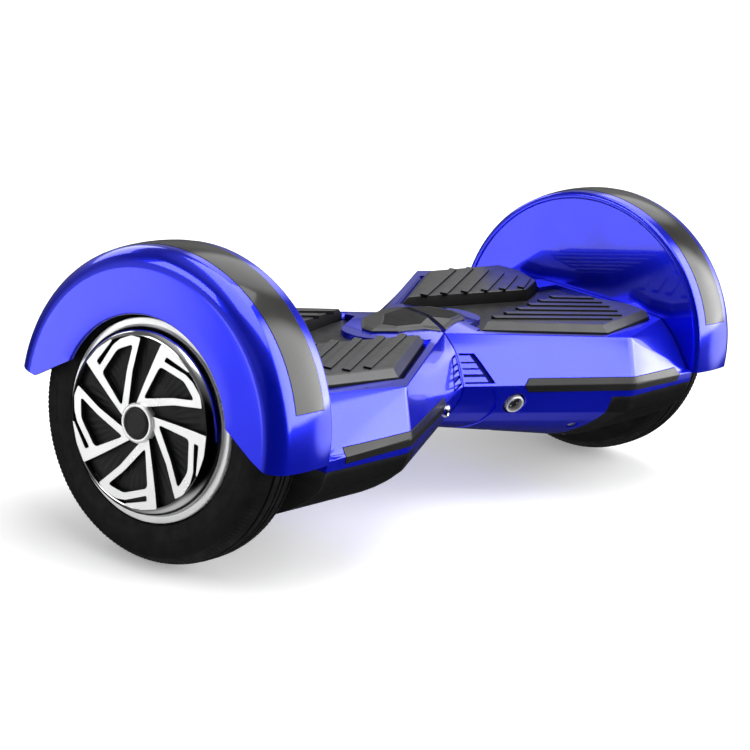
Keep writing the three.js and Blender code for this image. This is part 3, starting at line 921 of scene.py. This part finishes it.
def arch_light(margin, low, high):
    """A band round the crown between two angles above the horizontal."""
    start = LIGHT_START - margin * 0.5
    steps = 96
    angles = [mix(start, 180 - start, i / steps) for i in range(steps + 1)]
    x0, x1 = LIGHT_X[0] - margin, LIGHT_X[1] + margin
    across = [(high - crown(x), x) for x in (mix(x0, x1, i / 6) for i in range(7))]
    profile = [(low, x0), *across, (low, x1)]
    rings = []
    for a in angles:
        rings.append([(x, *polar(r, a)) for r, x in profile])
    return skinned(rings)


def arch():
    """The fender: a turned profile, open below and grooved for its light."""
    body = turned(fender_profile(), 180)
    cut(body, prism_x(FENDER_BELOW, FENDER_IN + 2.8, FAR),
        box(0, FENDER_IN + 2.9, -FAR, FAR, -FAR, -3), arch_light(GAP, LIGHT_SEAT, 130))
    return body


def lens_band():
    """The smoked light in the fender's groove, slightly proud of the crown."""
    return arch_light(0, LENS_BACK, FENDER_R + STRIP_RAISE * 0.6)


# ---- wheel ----
KNURL = 0.7
SPOKE_BACK = 300.8
SPOKE_FACE = 304.2
HUB_BORE = 10.8


def tyre():
    """Solid tyre: ribbed shoulders, a toothed line on each wall and shallow tread grooves."""
    wall = [(60.3, 19.4), (70, 19.4), (70.5, 20.4), (71, 22), (74.5, 22.4), (80, 22.75),
            (82.4, TYRE_HALF), (82.8, 22.2), (83.6, 22.2), (84.2, TYRE_HALF - 0.1), (88, 22),
            (92.5, 20.7), (94.5, 19.4), (97, 16.6), (98.6, 13.4)]
    tread = [(99.3, 10.4), (98.3, 10.1), (98.3, 8.5), (99.7, 8.2), (TYRE_R, 3.2),
             (98.9, 2.9), (98.9, 1.4), (TYRE_R, 1.1)]
    half = wall + tread
    profile = [(r, WHEEL_X - x) for r, x in half] + [(r, WHEEL_X + x) for r, x in reversed(half)]
    knurled = [i for i, (r, x) in enumerate(half) if 82.3 < r < 84.3 and x < 22.5]
    ribbed = [i for i, (r, x) in enumerate(half) if 94 < r < 99.5 and x > 12]
    last = len(profile) - 1

    def shape(i, s, r, x):
        near = min(i, last - i)
        outward = -1 if i == near else 1
        raised = s % 2 == 0
        if near in knurled and raised:
            x += outward * KNURL
        if near in ribbed and raised:
            r -= KNURL
        return r, x
    return turned(profile, 360, shape)


def rim():
    """The bright rim with its outer lip, its well and its closed back."""
    lip = [(RIM_R, 290.2), (RIM_R, 292.6), (RIM_R - 0.3, 293.2), (RIM_R - 0.9, 293.5)]
    inner = [(64.8, 293.5), (64.5, 293.3), (56.3, 293.3), (56.3, 250.5), (20, 250.5), (20, 257),
             (17.3, 257), (17.3, 247.5)]
    back = [(RIM_R - 0.8, 247.5), (RIM_R, 248.3), (RIM_R, 250.8), (60, 250.8), (60, 290.2)]
    return turned(lip + inner + back, 160)


def spoke_shape(outline, turn, reach):
    """An outline of (radius, degrees) turned into place, with rounded corners."""
    return rounded([polar(r, turn - a) for r, a in outline], reach)


def wheel_face():
    """The bright trim: a domed ring, a hub ring and five looped spokes."""
    dome = [(60.5, 293.8), (64.2, 293.8), (64.5, 294.2), (64.3, 295.6), (63.5, 298.2),
            (62.3, 300.6), (60.9, 302.6), (59.5, 303.8), (58.6, 304.2), (58, 303.9),
            (57.8, 303), (57.8, 301.2), (58.8, 300.4)]
    face = turned(dome, 160)
    join(face, turned([(HUB_BORE, 300.6), (13.5, 300.6), (13.5, 305.6), (13, 306.2),
                       (12.3, 306.4), (11.2, 306.3), (HUB_BORE, 305.9)], 96))
    for i in range(SPOKES):
        turn = SPOKE_PHASE + 360 * i / SPOKES
        spoke = prism_x(spoke_shape(SPOKE_OUTLINE, turn, 1.2), SPOKE_BACK, SPOKE_FACE)
        pocket = prism_x(spoke_shape(SPOKE_POCKET, turn, 3), 300, 305)
        join(face, eased(cut(spoke, pocket), 0.3, 35))
    return cut(face, rod(HUB_BORE, 290, 310, 96))


def dish():
    """The black dish behind the spokes, with fine fins round its middle."""
    profile = [(0.01, 297.2), (58, 297.2), (58, 299.3), (56.5, 299.4), (50, 299.4), (49.5, 299.5),
               (31, 299.7), (30.5, 299.8), (14, 300.2), (0.01, 300.2)]
    finned = (5, 6)

    def shape(i, s, r, x):
        return (r, x - 0.3) if i in finned and s % 4 < 2 else (r, x)
    return turned(profile, 240, shape)


def cap():
    """The hub cap, shallow and domed, with a ring round its face."""
    dome = [(0.01, 300.6), (10.4, 300.6), (10.4, CAP_X - 1.3), (10.1, CAP_X - 0.6),
            (9.4, CAP_X - 0.15), (8.4, CAP_X), (7.9, CAP_X - 0.35), (4, CAP_X - 0.2),
            (0.01, CAP_X - 0.15)]
    return turned(dome, 96)


# ---- socket and button ----
def socket_ring():
    """The chrome ring of the charging socket, with a rolled lip."""
    return turned([(5.9, -8), (7.4, -8), (7.4, 0.9), (7.1, 1.4), (6.6, 1.6), (6.1, 1.4),
                   (5.9, 1)], 64)


def socket_core():
    """The black insert with a keyway; its three contacts are made by socket_pins."""
    core = turned([(0.01, -7.6), (5.6, -7.6), (5.6, -2.6), (5.2, -2.3), (0.01, -2.3)], 48)
    return cut(core, box(-4, 0, -1, 1, 4.2, 6))


def socket_pins():
    """The socket's three round contacts."""
    pins = []
    for i in range(3):
        pin = turned([(0.01, -2.6), (0.8, -2.6), (0.8, -0.6), (0.55, -0.2), (0.01, -0.15)], 20)
        turn = Matrix.Rotation(math.radians(120 * i + 60), 4, "X")
        pins.append(changed(pin, turn @ Matrix.Translation((0, 0, 2.8))))
    return joined(pins)


def well(radius):
    """A cup behind a hole in the shell; where it is added it gets the dark painted-shade blue."""
    return turned([(0.01, -12), (radius, -12), (radius, -0.6), (radius - 0.7, -0.6),
                   (radius - 0.7, -10.5), (0.01, -10.5)], 48)


def button():
    """The power button, with a raised edge round a hollow top."""
    return turned([(0.01, -7), (4.8, -7), (4.8, 1.5), (4.5, 2.1), (3.9, 2.4), (3.4, 2.3),
                   (3.1, 1.9), (0.01, 1.75)], 48)


# ---- put the pieces on their bodies ----
SOCKET_HOLE = 9.2
BUTTON_HOLE = 5.6
GASKET_IN = 0.06        # the gasket's clearance from the other half
GASKET_DEPTH = 1.6


def adder(side, part, way):
    """A function that finishes the pieces of one side's half, wheel or foot pad."""
    def add(name, obj, material, slot, node=None, **edges):
        nodes = [f"{side}_{node}"] if node else ()
        return finished(f"{side}_{name}", obj, way, material, f"{side}_{part}", nodes, slot,
                        **edges)
    return add


def build_half(side):
    """The shells, covers, strips, arch and screws that ride on one half."""
    add = adder(side, "half", side)
    pointed = side == "right"
    hole_at, hole_r = (SOCKET_AT, SOCKET_HOLE) if pointed else (BUTTON_AT, BUTTON_HOLE)
    mouth = turned([(0.01, -14), (hole_r, -14), (hole_r, -1.2), (hole_r + 1.1, 0.4),
                    (hole_r + 1.2, 6), (0.01, 6)], 64)
    hole = on_front_face(mouth, *hole_at)
    add("upper_skin", upper_skin(pointed), BLUE, "blue_plated", "upper_shell", fold=30)
    add("lower_skin", lower_skin(pointed, hole), BLUE, "blue_plated", "lower_shell", fold=30)
    gasket = cut(form(GASKET_IN, SEAM_X + 0.2, -GASKET_DEPTH), rod(PIVOT_HOLE, -1, 10))
    add("waist_gasket", gasket, BLACK, "black_plastic")
    # The dark vent panels are painted shade.
    add("vent_backs", vent_backs(), RECESS_SHADE, "blue_plated")
    add("tray_floor", tray_floor(), BLACK, "black_plastic")
    add("belly", belly(), BLACK, "black_plastic", "belly_cover", fold=24)
    add("armour", armour(), ARMOUR, "pad_rubber", "waist_cover", bevel=0.45, fold=6)
    add("armour_inlay", armour_inlay(), INLAY, "pad_rubber", bevel=0.2, fold=12)
    front = strip(0, -STRIP_DEPTH, STRIP_RAISE, pointed)
    rear = mirrored(copied(front), (0, 1, 0))
    add("front_strip", front, DARK_LENS, "smoked_lens", "front_light", bevel=0.3)
    add("rear_strip", rear, DARK_LENS, "smoked_lens", "rear_light", bevel=0.3)
    add("arch", arch(), BLUE, "blue_plated", "fender", bevel=0.6, fold=40)
    add("arch_lens", lens_band(), LENS, "smoked_lens", "fender_light", bevel=0.3)
    # Painted shade: the cup behind the socket or button hole is dark blue.
    add("hole_cup", on_front_face(well(hole_r + 0.6), *hole_at), RECESS_SHADE, "blue_plated")
    screws = [(x, y, 0.9) for x, y in BELLY_SCREWS] + [(x, y, 1.0) for x, y in BOSSES]
    heads = joined([changed(screw_head(), standing(*screw)) for screw in screws])
    add("screws", heads, STEEL, "steel")


# Pad faces steeper than this get the painted shade material.
STEEP = 0.45            # a pad's face whose normal has less Z than this is a steep wall


def build_pads(side):
    """The two foot pads of one half: grey tops and slopes; the steep walls carry painted shade,
    near-black.
    """
    for end in ("rear", "front"):
        pad = foot_pad() if end == "rear" else mirrored(foot_pad(), (0, 1, 0))
        add = adder(side, f"{end}_foot", side)
        piece = add(f"{end}_footpad", pad, [PAD, PAD_WALL_SHADE], "pad_rubber", f"{end}_pad", fold=24)
        # Painted shade: the steep walls are coloured near-black.
        for face in piece.data.polygons:
            if abs(face.normal.z) < STEEP:
                face.material_index = 1


DISH_FROM = 57.9        # the polished ring starts at this radius
HUB_TO = 14.5           # the hub ring ends inside this radius
WALL_TILT = 0.6         # a spoke's face whose normal has less X than this is a side wall


def paint_wheel_face(piece):
    """Machined bright in front, black side walls on the spokes, a polished outer ring."""
    for face in piece.data.polygons:
        radius = math.hypot(face.center.y, face.center.z - AXLE_Z) / M
        if radius > DISH_FROM:
            face.material_index = 2
        elif radius > HUB_TO and abs(face.normal.x) < WALL_TILT:
            face.material_index = 1


def build_wheel(side):
    """The tyre, rim, face, dish and cap of one wheel."""
    add = adder(side, "wheel", "turned" if side == "left" else "right")
    add("tread", tyre(), RUBBER, "tyre_rubber", "tyre", fold=35)
    add("wheel_rim", rim(), ALLOY, "bright_alloy", "rim")
    paint_wheel_face(add("wheel_face", wheel_face(), [ALLOY, GLOSS, DISH], "bright_alloy",
                         "wheel_trim", fold=35))
    add("wheel_back", dish(), GLOSS, "black_gloss", "wheel_dish")
    add("centre_cap", cap(), CAP, "black_gloss", "hub_cap", fold=25)


for half_side in ("left", "right"):
    build_half(half_side)
    build_pads(half_side)
    build_wheel(half_side)

finished("socket_ring", on_front_face(socket_ring(), *SOCKET_AT), "right", ALLOY,
         "right_half", ["charge_socket"], "steel")
finished("socket_core", on_front_face(socket_core(), *SOCKET_AT), "right", BLACK, "right_half",
         slot="black_plastic")
finished("socket_pins", on_front_face(socket_pins(), *SOCKET_AT), "right", CHROME,
         "right_half", slot="steel")
finished("button_cap", on_front_face(button(), *BUTTON_AT), "left", CHROME, "button",
         ["power_button"], "steel", fold=25)

# ---- the CAD nodes that stay get their materials ----
INNER = {"foot_tray": BLACK, "sensor_board": BOARD, "chassis": CAST, "axle_clamp": CAST,
         "axle": STEEL, "stator": COPPER, "inner_bearing": STEEL, "outer_bearing": STEEL,
         "magnet_ring": STEEL, "motor_cover": CAST, "pivot_tube": STEEL, "pivot_bush": BLACK,
         "pivot_retainer": STEEL, "wiring_harness": BLACK, "battery_pack": WRAP,
         "main_board": BOARD}
for node_name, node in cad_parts.items():
    if node.hide_render:
        continue
    plain_name = node_name.replace("left_", "").replace("right_", "")
    node.data.materials.clear()
    node.data.materials.append(INNER[plain_name])


# ---- camera, light and floor ----
def camera():
    """A long lens from the front left, slightly rolled."""
    data = bpy.data.cameras.new("camera")
    data.sensor_width = 36
    data.lens = 125
    data.shift_x = -0.024
    data.shift_y = 0.0016
    data.clip_end = 100
    obj = bpy.data.objects.new("camera", data)
    right = Vector((0.58462, -0.79685, 0.15311))
    up = Vector((0.12356, 0.27391, 0.95381))
    back = right.cross(up)
    turn = Matrix((right, up, back)).transposed().to_4x4()
    obj.matrix_world = Matrix.Translation((-1.5828, -1.0534, 0.6005)) @ turn
    SCENE.collection.objects.link(obj)
    SCENE.camera = obj


def softbox(name, place, target, width, height, power):
    data = bpy.data.lights.new(name, "AREA")
    data.shape = "RECTANGLE"
    data.size = width
    data.size_y = height
    data.energy = power
    obj = bpy.data.objects.new(name, data)
    obj.location = place
    obj.rotation_euler = (Vector(target) - Vector(place)).to_track_quat("-Z", "Y").to_euler()
    SCENE.collection.objects.link(obj)


# The studio that reflections show. WALLS: (height of the direction, from 0 straight down to 1
# straight up; level). PANELS add to it: (towards, level, cosine where a panel starts to show,
# cosine where it is full, whether it fades out below the horizon). HORIZON: where it fades in.
# DARK_CORNER takes light away: (towards, cosine where it starts, cosine where it is full).
WALLS = [(0.0, 0.6), (0.06, 0.3), (0.12, 0.02), (0.4, 0.03), (0.5, 0.12), (0.63, 0.25),
         (0.72, 0.1), (0.86, 0.1), (1.0, 0.6)]
PANELS = [((0.62, -0.68, 0.36), 4.4, 0.8, 0.9, True),
          ((0.95, -0.3, 0.1), 1.4, 0.92, 0.99, True),
          ((0.76, 0.33, 0.56), 1.3, 0.955, 0.985, True),
          ((0.9, -0.43, -0.06), 1.45, 0.975, 0.995, False),
          ((-0.7, 0.67, -0.22), 1.9, 0.992, 0.999, False),
          ((-0.845, 0.5, -0.19), 1.6, 0.993, 0.999, False),
          ((-0.76, 0.6, -0.25), 0.45, 0.8, 0.97, False)]
HORIZON = (0.02, 0.08)
DARK_CORNER = ((-0.56, -0.78, -0.28), 0.5, 0.76)


def studio():
    """Pale all round to the eye; bright panels and a dark corner show in reflections."""
    world = bpy.data.worlds.new("studio")
    SCENE.world = world
    world.use_nodes = True
    tree = world.node_tree
    tree.nodes.clear()
    link = tree.links.new
    place = tree.nodes.new("ShaderNodeTexCoord").outputs["Generated"]

    def facing(towards, low, high):
        """0 to 1 as the direction turns to face that way."""
        dot = tree.nodes.new("ShaderNodeVectorMath")
        dot.operation = "DOT_PRODUCT"
        link(place, dot.inputs[0])
        dot.inputs[1].default_value = Vector(towards).normalized()
        ease = tree.nodes.new("ShaderNodeMapRange")
        ease.interpolation_type = "SMOOTHSTEP"
        ease.inputs["From Min"].default_value = low
        ease.inputs["From Max"].default_value = high
        link(dot.outputs["Value"], ease.inputs["Value"])
        return ease.outputs["Result"]

    def maths(operation, *values):
        node = tree.nodes.new("ShaderNodeMath")
        node.operation = operation
        for socket, value in zip(node.inputs, values):
            if isinstance(value, (int, float)):
                socket.default_value = value
            else:
                link(value, socket)
        return node.outputs[0]

    height = tree.nodes.new("ShaderNodeSeparateXYZ")
    link(place, height.inputs[0])
    ramp = tree.nodes.new("ShaderNodeValToRGB")
    link(maths("MULTIPLY_ADD", height.outputs["Z"], 0.5, 0.5), ramp.inputs[0])
    elements = ramp.color_ramp.elements
    while len(elements) < len(WALLS):
        elements.new(0.5)
    for element, (where, level) in zip(elements, WALLS):
        element.position = where
        element.color = (level, level, level, 1)
    level = ramp.outputs[0]
    above = facing((0, 0, 1), *HORIZON)
    for towards, strength, low, high, raised in PANELS:
        panel = maths("MULTIPLY", facing(towards, low, high), strength)
        level = maths("ADD", level, maths("MULTIPLY", panel, above) if raised else panel)
    lit = maths("SUBTRACT", 1, facing(*DARK_CORNER))
    room = tree.nodes.new("ShaderNodeBackground")
    link(maths("MULTIPLY", level, lit), room.inputs[0])
    paper = tree.nodes.new("ShaderNodeBackground")
    paper.inputs[0].default_value = (1, 1, 1, 1)
    both = tree.nodes.new("ShaderNodeMixShader")
    link(tree.nodes.new("ShaderNodeLightPath").outputs["Is Camera Ray"], both.inputs[0])
    link(room.outputs[0], both.inputs[1])
    link(paper.outputs[0], both.inputs[2])
    link(both.outputs[0], tree.nodes.new("ShaderNodeOutputWorld").inputs[0])


def floor():
    """A wide pale floor; it stays out of the glossy reflections."""
    bpy.ops.mesh.primitive_plane_add(size=14)
    obj = bpy.context.object
    obj.name = "floor"
    n = Nodes("floor")
    n.set(Base_Color=n.blend(n.noise(3, 2), (0.9, 0.9, 0.9), (0.93, 0.93, 0.93)), Roughness=0.9,
          Emission_Color=(1, 1, 1), Emission_Strength=0.3)
    obj.data.materials.append(n.material)
    obj.visible_glossy = False


camera()
studio()
floor()
softbox("top_box", (0.2, -0.2, 2.2), (0, 0, 0.1), 2.6, 1.8, 40)
softbox("left_box", (-2.4, 1.3, 1.5), (0, 0, 0.12), 1.4, 1.0, 16)
softbox("rear_box", (0.6, 2.8, 1.5), (0, 0, 0.12), 2.4, 1.0, 16)
SCENE.view_settings.view_transform = "Standard"
